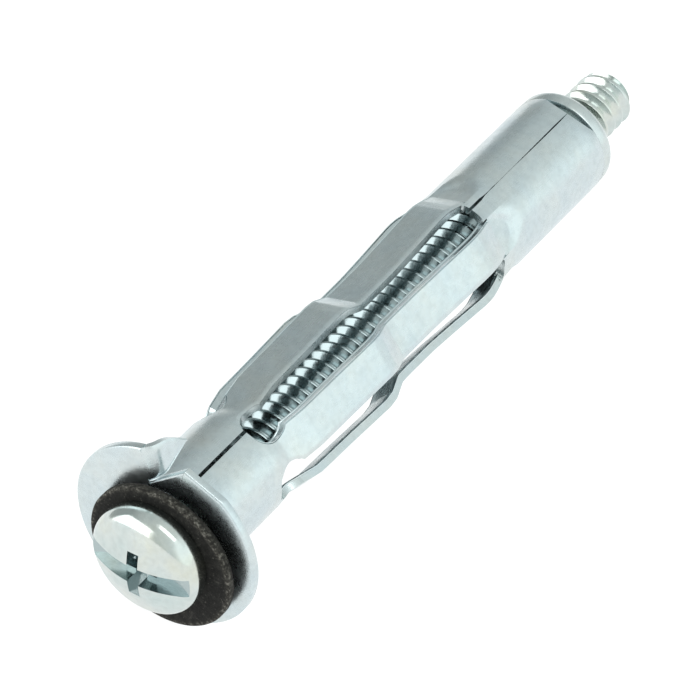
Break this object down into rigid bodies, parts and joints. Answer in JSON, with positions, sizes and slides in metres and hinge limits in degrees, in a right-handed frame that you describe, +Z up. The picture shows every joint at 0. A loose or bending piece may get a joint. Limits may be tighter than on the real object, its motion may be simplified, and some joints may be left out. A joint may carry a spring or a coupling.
{
  "type": "hollow-wall anchor",
  "caption": "Slotted metal sleeve with a flange and a crimped-in nut, whose five legs fold out behind a thin wall as its machine screw is tightened.",
  "frame": {"origin": "on the sleeve's axis, in the plane of the flange's rear face, which lies against the wall", "axes": "+Y along the axis from the screw's head to its tip, +Z up"},
  "size_m": [0.0112, 0.0466, 0.011],
  "materials": {
    "sleeve_zinc": "bright zinc plating, satin, faintly mottled",
    "nut_zinc": "bright zinc plating, satin",
    "screw_zinc": "bright zinc plating, glossy, with a faint yellow-green tint",
    "washer_fibre": "pressed dark fibre, matte, speckled, with a paler worn rim"
  },
  "bodies": {
    "collar": {"front_collar": "sleeve_zinc"},
    "washer": {"fibre_washer": "washer_fibre"},
    "screw": {"screw": "screw_zinc"},
    "leg_1_front": {"leg_1_front": "sleeve_zinc"},
    "leg_1_rear": {"leg_1_rear": "sleeve_zinc"},
    "leg_2_front": {"leg_2_front": "sleeve_zinc"},
    "leg_2_rear": {"leg_2_rear": "sleeve_zinc"},
    "leg_3_front": {"leg_3_front": "sleeve_zinc"},
    "leg_3_rear": {"leg_3_rear": "sleeve_zinc"},
    "leg_4_front": {"leg_4_front": "sleeve_zinc"},
    "leg_4_rear": {"leg_4_rear": "sleeve_zinc"},
    "leg_5_front": {"leg_5_front": "sleeve_zinc"},
    "leg_5_rear": {"leg_5_rear": "sleeve_zinc"},
    "rear_end": {"rear_barrel": "sleeve_zinc", "nut": "nut_zinc"}
  },
  "joints": [
    {"name": "screw_withdraw", "type": "slide", "parent": "collar", "child": "washer", "axis": [0.0068, -1, -0.0023], "range_m": [0, 0.026]},
    {"name": "screw_turn", "type": "hinge", "parent": "washer", "child": "screw", "pos_m": [0, 0.03615, 0], "axis": [0.0068, -1, -0.0023], "continuous": true},
    {"name": "leg_1_root", "type": "hinge", "parent": "collar", "child": "leg_1_front", "pos_m": [0.00236, 0.0068, 0.00159], "axis": [0.5592, 0, -0.829], "range_deg": [0, 80]},
    {"name": "leg_1_knee", "type": "hinge", "parent": "leg_1_front", "child": "leg_1_rear", "pos_m": [0.00207, 0.017, 0.0014], "axis": [-0.5592, 0, 0.829], "range_deg": [0, 160]},
    {"name": "leg_2_root", "type": "hinge", "parent": "collar", "child": "leg_2_front", "pos_m": [-0.00079, 0.0068, 0.00274], "axis": [0.9613, 0, 0.2756], "range_deg": [0, 80]},
    {"name": "leg_2_knee", "type": "hinge", "parent": "leg_2_front", "child": "leg_2_rear", "pos_m": [-0.00069, 0.017, 0.0024], "axis": [-0.9613, 0, -0.2756], "range_deg": [0, 160]},
    {"name": "leg_3_root", "type": "hinge", "parent": "collar", "child": "leg_3_front", "pos_m": [-0.00285, 0.0068, 0.0001], "axis": [0.0349, 0, 0.9994], "range_deg": [0, 80]},
    {"name": "leg_3_knee", "type": "hinge", "parent": "leg_3_front", "child": "leg_3_rear", "pos_m": [-0.0025, 0.017, 0.00009], "axis": [-0.0349, 0, -0.9994], "range_deg": [0, 160]},
    {"name": "leg_4_root", "type": "hinge", "parent": "collar", "child": "leg_4_front", "pos_m": [-0.00097, 0.0068, -0.00268], "axis": [-0.9397, 0, 0.342], "range_deg": [0, 80]},
    {"name": "leg_4_knee", "type": "hinge", "parent": "leg_4_front", "child": "leg_4_rear", "pos_m": [-0.00086, 0.017, -0.00235], "axis": [0.9397, 0, -0.342], "range_deg": [0, 160]},
    {"name": "leg_5_root", "type": "hinge", "parent": "collar", "child": "leg_5_front", "pos_m": [0.00225, 0.0068, -0.00175], "axis": [-0.6157, 0, -0.788], "range_deg": [0, 80]},
    {"name": "leg_5_knee", "type": "hinge", "parent": "leg_5_front", "child": "leg_5_rear", "pos_m": [0.00197, 0.017, -0.00154], "axis": [0.6157, 0, 0.788], "range_deg": [0, 160]},
    {"name": "leg_1_heel", "type": "hinge", "parent": "leg_1_rear", "child": "rear_end", "pos_m": [0.00236, 0.0272, 0.00159], "axis": [0.5592, 0, -0.829], "range_deg": [0, 80]}
  ],
  "couplings": [
    {"joint": "screw_turn", "follows": "screw_withdraw", "rad_per_m": 7913.3},
    {"joint": "leg_1_knee", "follows": "leg_1_root", "ratio": 2},
    {"joint": "leg_2_root", "follows": "leg_1_root", "ratio": 1},
    {"joint": "leg_2_knee", "follows": "leg_1_root", "ratio": 2},
    {"joint": "leg_3_root", "follows": "leg_1_root", "ratio": 1},
    {"joint": "leg_3_knee", "follows": "leg_1_root", "ratio": 2},
    {"joint": "leg_4_root", "follows": "leg_1_root", "ratio": 1},
    {"joint": "leg_4_knee", "follows": "leg_1_root", "ratio": 2},
    {"joint": "leg_5_root", "follows": "leg_1_root", "ratio": 1},
    {"joint": "leg_5_knee", "follows": "leg_1_root", "ratio": 2},
    {"joint": "leg_1_heel", "follows": "leg_1_root", "ratio": 1}
  ]
}
